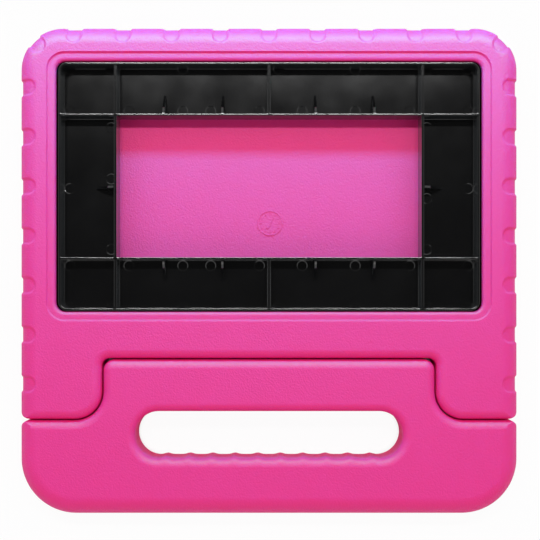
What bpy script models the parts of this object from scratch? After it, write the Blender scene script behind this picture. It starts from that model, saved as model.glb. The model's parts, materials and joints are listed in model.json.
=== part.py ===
"""A child's tablet case of moulded foam, with a handle that folds back as a stand.

The case lies on its back. Its front faces +Z, its top edge is towards +Y and the handle towards -Y.
The origin is the middle of the back, at the level that it lies on. The handle turns about a hinge
line along X. A ribbed plastic tray fills the tablet pocket and keeps its shape until a tablet takes
its place. All sizes are in metres.
"""

import math

import bmesh
import bpy
from mathutils import Matrix

# Outer form, shared by the shell and the handle.
CASE_WIDTH = 0.246
CASE_HEIGHT = 0.2406
CASE_THICKNESS = 0.025
EDGE_RADIUS = 0.009
TOP_CORNER_RADIUS = 0.021
FOOT_CORNER_RADIUS = 0.0275

# Seam between the shell and the handle.
SEAM_GAP = 0.0006
SEAM_EDGE_RADIUS = 0.0046
SEAM_END_RADIUS = 0.005
SHOULDER_HEIGHT = 0.0465
TONGUE_HEIGHT = 0.03
LOBE_WIDTH = 0.0413
TONGUE_CORNER_RADIUS = 0.0053
RECESS_CORNER_RADIUS = 0.0038
LOBE_RADIUS = 0.0135

# Window in the front of the shell, and the pocket behind its lip.
WINDOW_WIDTH = 0.2095
WINDOW_HEIGHT = 0.1231
WINDOW_CORNER_RADIUS = 0.0044
BORDER_ABOVE_WINDOW = 0.0174
LIP_EDGE_RADIUS = 0.0015
LIP_THICKNESS = 0.003
LIP_OVERLAP = 0.003
LEDGE_WIDTH = 0.0043
LEDGE_DEPTH = 0.001
LEDGE_SLOPE = 0.0008
POCKET_DEPTH = 0.0102

# Grip dents round the rim of the shell.
DENT_WIDTH = 0.0076
DENT_REACH = 0.0065
DENT_DEPTH = 0.0009
TOP_DENTS = 9
SIDE_DENTS = 7
TOP_DENT_PITCH = 0.024
SIDE_DENT_PITCH = 0.02435
SIDE_DENT_ABOVE_SEAM = 0.0178

# Slot for the hand, with a row of finger waves along its lower edge.
SLOT_WIDTH = 0.132
SLOT_HEIGHT = 0.0234
SLOT_ABOVE_FOOT = 0.0276
SLOT_EDGE_RADIUS = 0.004
FINGER_WAVES = 9
FINGER_PITCH = 0.0114
FINGER_DEPTH = 0.00075
CREST_SHARPNESS = 3

# Hinge: a steel pin, held in a barbed hub in the tongue and turning in a barbed socket in the lobe.
AXIS_BELOW_TONGUE_TOP = 0.0106
PIN_RADIUS = 0.0015
PIN_DEPTH = 0.012
SLEEVE_RADIUS = 0.0026
SLEEVE_LENGTH = 0.0145
FLANGE_RADIUS = 0.0032
FLANGE_THICKNESS = 0.0008
BARB_HEIGHT = 0.0003
BARB_COUNT = 3
WASHER_RADIUS = 0.003
WASHER_THICKNESS = 0.0008
WASHER_GAP = 0.0002

# Tray: a flange that sits under the lip, a wall and ribs that rise through the window.
TRAY_WALL = 0.001
TRAY_LONG_RIB = 0.001
TRAY_CROSS_RIB = 0.0012
TRAY_PLATE = 0.0012
TRAY_BELOW_LEDGE = 0.0005
TRAY_SIDE_GAP = 0.00115
TRAY_END_GAP = 0.0005
TRAY_BAND_WIDTH = 0.028
TRAY_BAND_HEIGHT = 0.0257
TRAY_CORNER_RADIUS = 0.0044
CELL_CORNER_RADIUS = 0.0004
GUSSET_THICKNESS = 0.001
GUSSET_LENGTH = 0.0115
GUSSET_BELOW_RIB = 0.0008
GUSSET_OFFSETS = (0.023, 0.052)

# Clearances.
FIT_GAP = 0.0003
PIN_GAP = 0.0001

# How finely round shapes are divided, how far a cutter runs past the face that it cuts, and how
# close two points are welded into one.
ARC_STEPS = 6
CORNER_STEPS = 3
EDGE_STEPS = 3
PIN_SIDES = 16
WAVE_STEPS = 6
OVERRUN = 0.002
TRIM_MARGIN = 0.00004
WELD_DISTANCE = 0.000001

# Places worked out from the sizes above. The axis is level with the centre of the tongue's round
# back edge, so the tongue never reaches past its own top as it turns in the recess.
AXIS_Z = SEAM_EDGE_RADIUS
FOOT = -CASE_HEIGHT / 2
TOP = CASE_HEIGHT / 2
SHOULDER = FOOT + SHOULDER_HEIGHT
TONGUE_TOP = SHOULDER + TONGUE_HEIGHT
TONGUE_SIDE = CASE_WIDTH / 2 - LOBE_WIDTH
WINDOW_CENTRE = TOP - BORDER_ABOVE_WINDOW - WINDOW_HEIGHT / 2
LEDGE_FACE = CASE_THICKNESS - LEDGE_DEPTH
POCKET_TOP = LEDGE_FACE - LIP_THICKNESS
POCKET_FLOOR = POCKET_TOP - POCKET_DEPTH
SLOT_CENTRE = FOOT + SLOT_ABOVE_FOOT + SLOT_HEIGHT / 2
AXIS_Y = TONGUE_TOP - AXIS_BELOW_TONGUE_TOP
SOCKET_FACE = TONGUE_SIDE + WASHER_THICKNESS + 2 * WASHER_GAP
TRAY_TOP = LEDGE_FACE - TRAY_BELOW_LEDGE
TRAY_BACK = POCKET_FLOOR + FIT_GAP
TRAY_WIDTH = WINDOW_WIDTH - 2 * TRAY_SIDE_GAP
TRAY_HEIGHT = WINDOW_HEIGHT - 2 * TRAY_END_GAP
CROSS_RIB_X = TRAY_WIDTH / 2 - TRAY_BAND_WIDTH
LONG_RIB_Y = TRAY_HEIGHT / 2 - TRAY_BAND_HEIGHT

FOAM_PINK = (0.82, 0.06, 0.37, 1.0)
TRAY_BLACK = (0.012, 0.012, 0.013, 1.0)
NYLON_BLACK = (0.02, 0.02, 0.022, 1.0)
STEEL_GREY = (0.55, 0.55, 0.56, 1.0)


def clear_scene():
    """Removes whatever the scene holds, and makes the collections of parts and of cutters."""
    for obj in list(bpy.data.objects):
        bpy.data.objects.remove(obj, do_unlink=True)
    parts = bpy.data.collections.new("kids_tablet_case")
    cutters = bpy.data.collections.new("cutters")
    for collection in (parts, cutters):
        bpy.context.scene.collection.children.link(collection)
    return parts, cutters


def make_material(name, colour, roughness, metallic=0.0):
    """A plain Principled material."""
    material = bpy.data.materials.new(name)
    material.use_nodes = True
    shader = material.node_tree.nodes["Principled BSDF"]
    shader.inputs["Base Color"].default_value = colour
    shader.inputs["Roughness"].default_value = roughness
    shader.inputs["Metallic"].default_value = metallic
    return material


def arc(centre_x, centre_y, radius, start, end, steps=ARC_STEPS):
    """Points of a circular arc from start to end degrees, both ends included."""
    points = []
    for step in range(steps + 1):
        angle = math.radians(start + (end - start) * step / steps)
        points.append((centre_x + radius * math.cos(angle), centre_y + radius * math.sin(angle)))
    return points


def mirrored(half):
    """A closed outline from its right half, which runs from the middle round to the middle."""
    return half + [(-x, y) for x, y in reversed(half) if abs(x) > WELD_DISTANCE]


def rounded_box(width, height, centre_y, radius, steps=ARC_STEPS):
    """A rectangle with rounded corners, centred on the Y axis."""
    side = width / 2 - radius
    low = centre_y - height / 2 + radius
    high = centre_y + height / 2 - radius
    return mirrored(arc(side, low, radius, -90, 0, steps) + arc(side, high, radius, 0, 90, steps))


def case_outline(inset):
    """The outline of the whole case seen from the front, drawn in by inset."""
    side = CASE_WIDTH / 2
    foot = FOOT_CORNER_RADIUS
    top = TOP_CORNER_RADIUS
    lower = arc(side - foot, FOOT + foot, foot - inset, -90, 0)
    upper = arc(side - top, TOP - top, top - inset, 0, 90)
    return mirrored(lower + upper)


def shell_seam_outline(inset):
    """The shell's own outline, seam and all, a little outside the case's outline elsewhere."""
    side = CASE_WIDTH / 2 + TRIM_MARGIN
    seam = SHOULDER + SEAM_GAP
    recess_top = TONGUE_TOP + SEAM_GAP
    lobe_side = TONGUE_SIDE + SEAM_GAP
    recess = RECESS_CORNER_RADIUS
    lobe = LOBE_RADIUS
    end = SEAM_END_RADIUS
    half = [(0.0, recess_top + inset)]
    half += arc(lobe_side - recess, recess_top - recess, recess + inset, 90, 0)
    half += arc(lobe_side + lobe, seam + lobe, lobe - inset, 180, 270)
    half += arc(side - end, seam + end, end - inset, 270, 360)
    half += [(side - inset, TOP + OVERRUN), (0.0, TOP + OVERRUN)]
    return mirrored(half)


def handle_seam_outline(inset):
    """The handle's own outline, seam and all, a little outside the case's outline elsewhere."""
    side = CASE_WIDTH / 2 + TRIM_MARGIN
    tongue = TONGUE_CORNER_RADIUS
    hollow = LOBE_RADIUS + SEAM_GAP
    end = SEAM_END_RADIUS
    half = [(0.0, FOOT - OVERRUN), (side - inset, FOOT - OVERRUN)]
    half += arc(side - end, SHOULDER - end, end - inset, 0, 90)
    half += arc(TONGUE_SIDE + hollow, SHOULDER + hollow, hollow + inset, 270, 180)
    half += arc(TONGUE_SIDE - tongue, TONGUE_TOP - tongue, tongue - inset, 0, 90)
    half += [(0.0, TONGUE_TOP - inset)]
    return mirrored(half)


def slot_outline(outset, wave_share):
    """The hand slot's outline, let out by outset, with wave_share of the finger waves' height."""
    radius = SLOT_HEIGHT / 2
    side = SLOT_WIDTH / 2 - radius
    reach = radius + outset
    wave_steps = FINGER_WAVES * WAVE_STEPS
    wave_span = FINGER_WAVES * FINGER_PITCH
    lower = []
    for step in range(wave_steps + 1):
        x = -wave_span / 2 + wave_span * step / wave_steps
        phase = 2 * math.pi * step / WAVE_STEPS
        crest = FINGER_DEPTH * (0.5 + 0.5 * math.cos(phase)) ** CREST_SHARPNESS
        lower.append((x, SLOT_CENTRE - reach + wave_share * crest))
    right = arc(side, SLOT_CENTRE, reach, -90, 90, 2 * ARC_STEPS)
    left = arc(-side, SLOT_CENTRE, reach, 90, 270, 2 * ARC_STEPS)
    return lower + right + left


def finish(obj, collection, material=None):
    """Puts an object in its collection, and gives it its material or marks it as a cutter."""
    for other in list(obj.users_collection):
        other.objects.unlink(obj)
    collection.objects.link(obj)
    if material is None:
        obj.hide_render = True
        obj.display_type = "WIRE"
    else:
        obj.data.materials.append(material)
    return obj


def object_from(name, shape):
    """A new object that holds the bmesh, with its faces pointing out."""
    bmesh.ops.recalc_face_normals(shape, faces=shape.faces)
    mesh = bpy.data.meshes.new(name)
    shape.to_mesh(mesh)
    shape.free()
    obj = bpy.data.objects.new(name, mesh)
    bpy.context.scene.collection.objects.link(obj)
    return obj


def plate(name, outlines, low, high, edge_radius=0.0):
    """A flat piece from its outline and any holes, made as a filled 2D curve between two levels.

    With an edge radius, the outlines are those of the flat faces, and the round edge grows out of them.
    """
    curve = bpy.data.curves.new(name, "CURVE")
    curve.dimensions = "2D"
    curve.fill_mode = "BOTH"
    curve.extrude = (high - low) / 2 - edge_radius
    curve.bevel_depth = edge_radius
    curve.bevel_resolution = EDGE_STEPS - 1 if edge_radius else 0
    for outline in outlines:
        spline = curve.splines.new("POLY")
        spline.points.add(len(outline) - 1)
        for point, (x, y) in zip(spline.points, outline):
            point.co = (x, y, 0.0, 1.0)
        spline.use_cyclic_u = True
    obj = bpy.data.objects.new(name, curve)
    bpy.context.scene.collection.objects.link(obj)
    obj.matrix_world = Matrix.Translation((0, 0, (low + high) / 2))
    return solid_from_curve(obj)


def solid_from_curve(curve_object):
    """The mesh object that stands for a curve object, with its caps welded on."""
    bpy.context.view_layer.update()
    evaluated = curve_object.evaluated_get(bpy.context.evaluated_depsgraph_get())
    mesh = bpy.data.meshes.new_from_object(evaluated)
    shape = bmesh.new()
    shape.from_mesh(mesh)
    bmesh.ops.remove_doubles(shape, verts=shape.verts, dist=WELD_DISTANCE)
    shape.transform(curve_object.matrix_world)
    name = curve_object.name
    bpy.data.objects.remove(curve_object, do_unlink=True)
    bpy.data.meshes.remove(mesh)
    return object_from(name, shape)


def loft(name, sections):
    """A closed solid through (z, outline) sections, whose outlines have equal numbers of points."""
    shape = bmesh.new()
    rings = []
    for z, outline in sections:
        rings.append([shape.verts.new((x, y, z)) for x, y in outline])
    count = len(rings[0])
    for ring, following in zip(rings, rings[1:]):
        for index in range(count):
            after = (index + 1) % count
            shape.faces.new((ring[index], ring[after], following[after], following[index]))
    shape.faces.new(rings[0])
    shape.faces.new(reversed(rings[-1]))
    return object_from(name, shape)


def turned(name, profile, place, closed=False):
    """A solid turned about the X axis from its (x, radius) profile, then moved by place."""
    mesh = bpy.data.meshes.new(name)
    edges = [(index, index + 1) for index in range(len(profile) - 1)]
    if closed:
        edges.append((len(profile) - 1, 0))
    mesh.from_pydata([(x, 0.0, radius) for x, radius in profile], edges, [])
    obj = bpy.data.objects.new(name, mesh)
    bpy.context.scene.collection.objects.link(obj)
    screw = obj.modifiers.new("turn", "SCREW")
    screw.axis = "X"
    screw.steps = PIN_SIDES
    screw.render_steps = PIN_SIDES
    screw.use_merge_vertices = True
    screw.merge_threshold = WELD_DISTANCE
    screw.use_normal_flip = True
    obj.matrix_world = place
    return obj


def box(name, low, high):
    """A box from its lowest to its highest corner."""
    shape = bmesh.new()
    bmesh.ops.create_cube(shape, size=1.0)
    size = [b - a for a, b in zip(low, high)]
    middle = [(a + b) / 2 for a, b in zip(low, high)]
    bmesh.ops.scale(shape, vec=size, verts=shape.verts)
    bmesh.ops.translate(shape, vec=middle, verts=shape.verts)
    return object_from(name, shape)


def boolean(obj, operation, other, name):
    """Adds a Boolean modifier that stays on the object."""
    modifier = obj.modifiers.new(name, "BOOLEAN")
    modifier.operation = operation
    modifier.object = other
    modifier.solver = "EXACT"
    return modifier


def edge_steps():
    """Pairs of (share of the radius outward, share of the radius inward) along a quarter-round edge."""
    for step in range(EDGE_STEPS + 1):
        angle = math.radians(90 * step / EDGE_STEPS)
        yield 1 - math.sin(angle), 1 - math.cos(angle)


def case_form(name, inset, cutters):
    """The rounded block that the shell and the handle are cut from, drawn in by inset all over."""
    outline = case_outline(EDGE_RADIUS)
    block = plate(name, [outline], inset, CASE_THICKNESS - inset, EDGE_RADIUS - inset)
    return finish(block, cutters)


def dent_footprint():
    """A dent seen from the front: open at the rim, with a round inner end, pointing along -X."""
    half = DENT_WIDTH / 2
    inner = arc(half - DENT_REACH, 0.0, half, 90, 270)
    return [(OVERRUN, half)] + inner + [(OVERRUN, -half)]


def dent_places():
    """The rim point and the outward direction, in degrees, of each grip dent."""
    places = []
    for index in range(TOP_DENTS):
        places.append(((index - (TOP_DENTS - 1) / 2) * TOP_DENT_PITCH, TOP, 90))
    for index in range(SIDE_DENTS):
        y = SHOULDER + SIDE_DENT_ABOVE_SEAM + index * SIDE_DENT_PITCH
        places.append((CASE_WIDTH / 2, y, 0))
        places.append((-CASE_WIDTH / 2, y, 180))
    slack = TOP_CORNER_RADIUS * (1 - math.sqrt(0.5))
    corner_x = CASE_WIDTH / 2 - slack
    corner_y = TOP - slack
    return places + [(corner_x, corner_y, 45), (-corner_x, corner_y, 135)]


def grip_dents(cutters):
    """The material that the grip dents take off the rim, as one cutter."""
    shape = bmesh.new()
    for x, y, direction in dent_places():
        dent = plate("dent", [dent_footprint()], -OVERRUN, CASE_THICKNESS + OVERRUN)
        turn = Matrix.Rotation(math.radians(direction), 4, "Z")
        dent.data.transform(Matrix.Translation((x, y, 0)) @ turn)
        shape.from_mesh(dent.data)
        bpy.data.objects.remove(dent, do_unlink=True)
    dents = finish(object_from("grip_dents", shape), cutters)
    boolean(dents, "DIFFERENCE", case_form("dent_floor", DENT_DEPTH, cutters), "keep_skin")
    return dents


def window_outline(outset):
    """The outline of the window in the front of the shell, let out by outset."""
    width = WINDOW_WIDTH + 2 * outset
    height = WINDOW_HEIGHT + 2 * outset
    return rounded_box(width, height, WINDOW_CENTRE, WINDOW_CORNER_RADIUS + outset)


def pocket_space(cutters):
    """The ledge, the window with its rounded lip, and the pocket behind it, as one cutter."""
    slope_top = LEDGE_WIDTH + LEDGE_SLOPE / 2
    slope_foot = LEDGE_WIDTH - LEDGE_SLOPE / 2
    sections = [
        (CASE_THICKNESS + OVERRUN, window_outline(slope_top)),
        (CASE_THICKNESS, window_outline(slope_top)),
        (LEDGE_FACE, window_outline(slope_foot)),
    ]
    for outward, inward in edge_steps():
        sections.append((LEDGE_FACE - inward * LIP_EDGE_RADIUS, window_outline(outward * LIP_EDGE_RADIUS)))
    sections += [
        (POCKET_TOP, window_outline(0.0)),
        (POCKET_TOP, window_outline(LIP_OVERLAP)),
        (POCKET_FLOOR, window_outline(LIP_OVERLAP)),
    ]
    return finish(loft("pocket_space", sections), cutters)


def slot_space(cutters):
    """The hand slot with its rounded edges on both faces, as one cutter."""
    sections = [(CASE_THICKNESS + OVERRUN, slot_outline(SLOT_EDGE_RADIUS, 0.0))]
    for outward, inward in edge_steps():
        z = CASE_THICKNESS - inward * SLOT_EDGE_RADIUS
        sections.append((z, slot_outline(outward * SLOT_EDGE_RADIUS, 1 - outward)))
    sections += [(CASE_THICKNESS - z, outline) for z, outline in reversed(sections)]
    return finish(loft("slot_space", sections), cutters)


def sleeve_profile(outer_gap):
    """Outside of a hinge sleeve, from its flange to its far end, as (distance from its face, radius)."""
    pitch = (SLEEVE_LENGTH - FLANGE_THICKNESS) / (BARB_COUNT + 1)
    profile = [
        (0.0, FLANGE_RADIUS + outer_gap),
        (FLANGE_THICKNESS + outer_gap, FLANGE_RADIUS + outer_gap),
        (FLANGE_THICKNESS + outer_gap, SLEEVE_RADIUS + outer_gap),
    ]
    for barb in range(1, BARB_COUNT + 1):
        crest = FLANGE_THICKNESS + barb * pitch
        profile += [
            (crest, SLEEVE_RADIUS + outer_gap),
            (crest, SLEEVE_RADIUS + BARB_HEIGHT + outer_gap),
            (crest + pitch / 2, SLEEVE_RADIUS + outer_gap),
        ]
    return profile + [(SLEEVE_LENGTH + outer_gap, SLEEVE_RADIUS + outer_gap)]


def hinge_place(face, direction):
    """Where a turned hinge piece goes: its own X axis starts at face and runs towards direction."""
    half_turn = Matrix.Rotation(0 if direction > 0 else math.pi, 4, "Z")
    return Matrix.Translation((face, AXIS_Y, AXIS_Z)) @ half_turn


def hinge_sleeve(name, face, direction, parts, material):
    """A barbed sleeve with a flange at its face and a blind bore for the pin."""
    bore_radius = PIN_RADIUS + PIN_GAP
    depth = PIN_DEPTH + PIN_GAP
    bore = [(depth, 0.0), (depth, bore_radius), (0.0, bore_radius)]
    profile = bore + sleeve_profile(0.0) + [(SLEEVE_LENGTH, 0.0)]
    return finish(turned(name, profile, hinge_place(face, direction)), parts, material)


def hinge_bore(name, face, mouth, direction, cutters):
    """The hole that a hinge sleeve sits in, open towards the seam at mouth, as a cutter."""
    outer = sleeve_profile(FIT_GAP)
    profile = [(mouth, 0.0), (mouth, outer[0][1])] + outer[1:] + [(outer[-1][0], 0.0)]
    return finish(turned(name, profile, hinge_place(face, direction)), cutters)


def hinge_pin(name, side, parts, material):
    """The steel pin, from the hub's bore across the seam to the socket's bore."""
    start = TONGUE_SIDE - PIN_DEPTH
    length = SOCKET_FACE + PIN_DEPTH - start
    profile = [(0.0, 0.0), (0.0, PIN_RADIUS), (length, PIN_RADIUS), (length, 0.0)]
    return finish(turned(name, profile, hinge_place(side * start, side)), parts, material)


def hinge_washer(name, side, parts, material):
    """The friction washer on the pin, between the hub's face and the socket's."""
    start = TONGUE_SIDE + WASHER_GAP
    inner = PIN_RADIUS + PIN_GAP
    profile = [
        (0.0, inner),
        (0.0, WASHER_RADIUS),
        (WASHER_THICKNESS, WASHER_RADIUS),
        (WASHER_THICKNESS, inner),
    ]
    return finish(turned(name, profile, hinge_place(side * start, side), closed=True), parts, material)


def case_shell(parts, cutters, whole, foam):
    """The foam shell: rim with grip dents, ledge and lip round the window, pocket, and two lobes."""
    outline = shell_seam_outline(SEAM_EDGE_RADIUS)
    shell = plate("case_shell", [outline], -TRIM_MARGIN, CASE_THICKNESS + TRIM_MARGIN, SEAM_EDGE_RADIUS)
    boolean(shell, "INTERSECT", whole, "outer_form")
    boolean(shell, "DIFFERENCE", pocket_space(cutters), "pocket")
    boolean(shell, "DIFFERENCE", grip_dents(cutters), "grip_dents")
    return finish(shell, parts, foam)


def handle_stand(parts, cutters, whole, foam):
    """The foam handle: a tongue between the shell's lobes, shoulders under them, and the hand slot."""
    outline = handle_seam_outline(SEAM_EDGE_RADIUS)
    handle = plate("handle_stand", [outline], -TRIM_MARGIN, CASE_THICKNESS + TRIM_MARGIN, SEAM_EDGE_RADIUS)
    boolean(handle, "INTERSECT", whole, "outer_form")
    boolean(handle, "DIFFERENCE", slot_space(cutters), "hand_slot")
    return finish(handle, parts, foam)


def hinges(parts, cutters, shell, handle, nylon, steel):
    """The four pieces of each hinge, and the holes for them in the lobes and the tongue."""
    recess = SOCKET_FACE - TONGUE_SIDE
    for side, word in ((-1, "left"), (1, "right")):
        hinge_sleeve(f"hinge_socket_{word}", side * SOCKET_FACE, side, parts, nylon)
        hinge_sleeve(f"hinge_hub_{word}", side * TONGUE_SIDE, -side, parts, nylon)
        hinge_pin(f"hinge_pin_{word}", side, parts, steel)
        hinge_washer(f"hinge_washer_{word}", side, parts, nylon)
        lobe_bore = hinge_bore(f"lobe_bore_{word}", side * SOCKET_FACE, -recess, side, cutters)
        tongue_bore = hinge_bore(f"tongue_bore_{word}", side * TONGUE_SIDE, -SEAM_GAP, -side, cutters)
        boolean(shell, "DIFFERENCE", lobe_bore, f"bore_{word}")
        boolean(handle, "DIFFERENCE", tongue_bore, f"bore_{word}")


def cell(low_x, high_x, low_y, high_y, wide_corners=()):
    """One cell of the tray, from its sides; a wide corner follows the tray's own round corner."""
    points = []
    corners = (("low_right", high_x, low_y), ("high_right", high_x, high_y))
    corners += (("high_left", low_x, high_y), ("low_left", low_x, low_y))
    for index, (word, x, y) in enumerate(corners):
        wide = word in wide_corners
        radius = TRAY_CORNER_RADIUS - TRAY_WALL if wide else CELL_CORNER_RADIUS
        centre_x = x - radius if word.endswith("right") else x + radius
        centre_y = y + radius if word.startswith("low") else y - radius
        start = 90 * index - 90
        steps = ARC_STEPS if wide else CORNER_STEPS
        points += arc(centre_x, WINDOW_CENTRE + centre_y, radius, start, start + 90, steps)
    return points


def tray_cells():
    """The outlines of the cells between the tray's ribs, the one in the middle first."""
    wall_x = TRAY_WIDTH / 2 - TRAY_WALL
    wall_y = TRAY_HEIGHT / 2 - TRAY_WALL
    cross = TRAY_CROSS_RIB / 2
    lengthwise = TRAY_LONG_RIB / 2
    outer = CROSS_RIB_X + cross
    inner = CROSS_RIB_X - cross
    row = LONG_RIB_Y + lengthwise
    middle_y = LONG_RIB_Y - lengthwise
    cells = [cell(-inner, inner, -middle_y, middle_y)]
    cells += [cell(outer, wall_x, -middle_y, middle_y), cell(-wall_x, -outer, -middle_y, middle_y)]
    for low_y, high_y, word in ((row, wall_y, "high"), (-wall_y, -row, "low")):
        cells.append(cell(-wall_x, -outer, low_y, high_y, (word + "_left",)))
        cells.append(cell(-inner, -cross, low_y, high_y))
        cells.append(cell(cross, inner, low_y, high_y))
        cells.append(cell(outer, wall_x, low_y, high_y, (word + "_right",)))
    return cells


def gussets(cutters):
    """The triangular webs that brace the tray's middle ribs, joined to it later."""
    places = []
    for offset in GUSSET_OFFSETS:
        for x in (-offset, offset):
            places.append((x, WINDOW_CENTRE + LONG_RIB_Y, 0))
            places.append((x, WINDOW_CENTRE - LONG_RIB_Y, 180))
    places += [(CROSS_RIB_X, WINDOW_CENTRE, -90), (-CROSS_RIB_X, WINDOW_CENTRE, 90)]
    half = GUSSET_THICKNESS / 2
    low = TRAY_BACK + TRAY_PLATE / 2
    high = TRAY_TOP - GUSSET_BELOW_RIB
    shape = bmesh.new()
    for x, y, direction in places:
        web = box("web", (-half, 0.0, low), (half, GUSSET_LENGTH, high))
        for vertex in web.data.vertices:
            if vertex.co.y > 0 and vertex.co.z > (low + high) / 2:
                vertex.co.y = TRAY_LONG_RIB
        turn = Matrix.Rotation(math.radians(direction), 4, "Z")
        web.data.transform(Matrix.Translation((x, y, 0)) @ turn)
        shape.from_mesh(web.data)
        bpy.data.objects.remove(web, do_unlink=True)
    return finish(object_from("tray_gussets", shape), cutters)


def insert_tray(parts, cutters, plastic):
    """The black tray: a flange, a block hollowed into cells between ribs, and braced middle ribs."""
    window, *cells = tray_cells()
    floor = TRAY_BACK + TRAY_PLATE
    flange = window_outline(LIP_OVERLAP - FIT_GAP)
    wall = rounded_box(TRAY_WIDTH, TRAY_HEIGHT, WINDOW_CENTRE, TRAY_CORNER_RADIUS)
    tray = plate("insert_tray", [flange], TRAY_BACK, floor)
    block = plate("tray_block", [wall], TRAY_BACK + TRAY_PLATE / 2, TRAY_TOP)
    hollows = plate("tray_hollows", cells, floor, TRAY_TOP + OVERRUN)
    through = plate("tray_window", [window], TRAY_BACK - OVERRUN, TRAY_TOP + OVERRUN)
    boolean(tray, "UNION", finish(block, cutters), "block")
    boolean(tray, "DIFFERENCE", finish(hollows, cutters), "hollows")
    boolean(tray, "DIFFERENCE", finish(through, cutters), "window")
    boolean(tray, "UNION", gussets(cutters), "gussets")
    return finish(tray, parts, plastic)


def main():
    """Builds the whole case."""
    parts, cutters = clear_scene()
    foam = make_material("foam", FOAM_PINK, 0.62)
    plastic = make_material("tray_plastic", TRAY_BLACK, 0.25)
    nylon = make_material("hinge_nylon", NYLON_BLACK, 0.4)
    steel = make_material("hinge_steel", STEEL_GREY, 0.3, 1.0)
    whole = case_form("whole_case", 0.0, cutters)
    shell = case_shell(parts, cutters, whole, foam)
    handle = handle_stand(parts, cutters, whole, foam)
    hinges(parts, cutters, shell, handle, nylon, steel)
    insert_tray(parts, cutters, plastic)


main()
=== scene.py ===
"""Dresses the packed kids tablet case: fine foam, tray and hinge pieces, their finishes and a studio."""

import json
import math

import bmesh
import bpy
from bpy.props import FloatProperty, FloatVectorProperty, IntProperty, PointerProperty
from mathutils import Matrix, Vector

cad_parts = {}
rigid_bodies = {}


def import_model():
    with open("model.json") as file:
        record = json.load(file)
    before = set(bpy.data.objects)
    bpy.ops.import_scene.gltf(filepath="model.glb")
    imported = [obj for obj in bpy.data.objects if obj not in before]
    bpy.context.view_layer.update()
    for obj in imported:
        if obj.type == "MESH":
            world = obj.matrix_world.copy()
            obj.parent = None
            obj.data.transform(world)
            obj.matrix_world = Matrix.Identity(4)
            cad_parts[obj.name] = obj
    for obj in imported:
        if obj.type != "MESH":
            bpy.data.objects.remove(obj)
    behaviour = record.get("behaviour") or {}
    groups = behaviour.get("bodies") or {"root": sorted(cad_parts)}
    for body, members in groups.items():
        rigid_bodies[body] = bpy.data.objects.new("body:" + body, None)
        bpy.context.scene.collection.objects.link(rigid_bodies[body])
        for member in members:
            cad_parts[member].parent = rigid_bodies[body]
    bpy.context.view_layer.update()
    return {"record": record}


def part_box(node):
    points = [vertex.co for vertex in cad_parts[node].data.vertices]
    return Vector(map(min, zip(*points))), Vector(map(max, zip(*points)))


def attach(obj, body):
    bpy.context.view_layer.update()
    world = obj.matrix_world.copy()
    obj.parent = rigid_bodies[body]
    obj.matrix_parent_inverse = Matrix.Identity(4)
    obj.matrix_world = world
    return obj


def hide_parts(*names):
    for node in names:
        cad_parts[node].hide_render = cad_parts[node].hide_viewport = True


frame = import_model()

bl_info = {
    "name": "Kids Tablet Case",
    "version": (1, 0, 0),
    "blender": (4, 5, 0),
    "location": "3D View > Sidebar > Tablet Case",
    "description": "Makes the foam shell, handle, ribbed tray and hinges of a child's tablet case",
    "category": "Add Mesh",
}

# Where the packed model's pieces lie. The other shapes are worked out from these and the settings.
SHELL_LOW, SHELL_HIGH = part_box("case_shell")
HANDLE_LOW, HANDLE_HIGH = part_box("handle_stand")
TRAY_LOW, TRAY_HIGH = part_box("insert_tray")
HINGE_AXIS = Vector(frame["record"]["behaviour"]["joints"][0]["pos_m"])
HUB_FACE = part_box("hinge_hub_right")[1].x
SOCKET_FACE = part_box("hinge_socket_right")[0].x
SIDE = SHELL_HIGH.x
FOOT = HANDLE_LOW.y
TOP = SHELL_HIGH.y
FRONT = SHELL_HIGH.z
WINDOW_CENTRE = (TRAY_LOW.y + TRAY_HIGH.y) / 2

# How finely round shapes are divided, and how far past a dent's edge, in widths of it, that goes on.
ARC_STEPS = 20
CELL_CORNER_STEPS = 10
EDGE_STEPS = 12
CREST_STEPS = 8
SMALL_EDGE_STEPS = 4
RIM_STEPS = 28
SIDE_STEPS = 5
TURN_STEPS = 48
WAVE_STEPS = 16
WEB_STEPS = 12
RIM_SPACING = 0.0016
DENT_SPACING = 0.00042
DENT_MARGIN = 2.5

# How far a cutter runs past the face that it cuts, a skin too thin to see, and what counts as one point.
OVERRUN = 0.002
SKIN = 0.00001
WELD_DISTANCE = 0.000001

# Edges sharper than these angles in degrees stay sharp.
FOAM_ANGLE = 38
TRAY_ANGLE = 16
HINGE_ANGLE = 30

# Where the mould's ejector pins stood, as distances from the middle of the tray.
WALL_MARKS = (-0.0432, 0.0048, 0.0432)
RIB_MARKS = (-0.0702, -0.0432, -0.0292, -0.0048, 0.0166, 0.0432, 0.0705)
LEFT_MARKS = (0.0305, 0.0048, -0.0305)
RIGHT_MARKS = (0.0305, -0.005, -0.0305)


def length(name, description, default):
    """A length in metres that a user can set."""
    return FloatProperty(name=name, description=description, default=default, min=0.0, precision=5,
                         unit="LENGTH")


def place(name, description, default):
    """A point in metres that a user can set."""
    return FloatVectorProperty(name=name, description=description, default=default, precision=4,
                               subtype="TRANSLATION", unit="LENGTH")


def colour(name, description, default):
    """A colour that a user can set."""
    return FloatVectorProperty(name=name, description=description, default=default, min=0.0, max=1.0,
                               subtype="COLOR")


def power(name, description, default):
    """A lamp's power in watts that a user can set."""
    return FloatProperty(name=name, description=description, default=default, min=0.0, unit="POWER")


def share(name, description, default):
    """A value from 0 to 1 that a user can set."""
    return FloatProperty(name=name, description=description, default=default, min=0.0, max=1.0,
                         subtype="FACTOR")


def count(name, description, default):
    """A whole number from 1 up that a user can set."""
    return IntProperty(name=name, description=description, default=default, min=1)


def panel(name, description, default):
    """The width and height in metres of a lamp's face, which a user can set."""
    return FloatVectorProperty(name=name, description=description, default=default, min=0.0, size=2,
                               unit="LENGTH")


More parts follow.
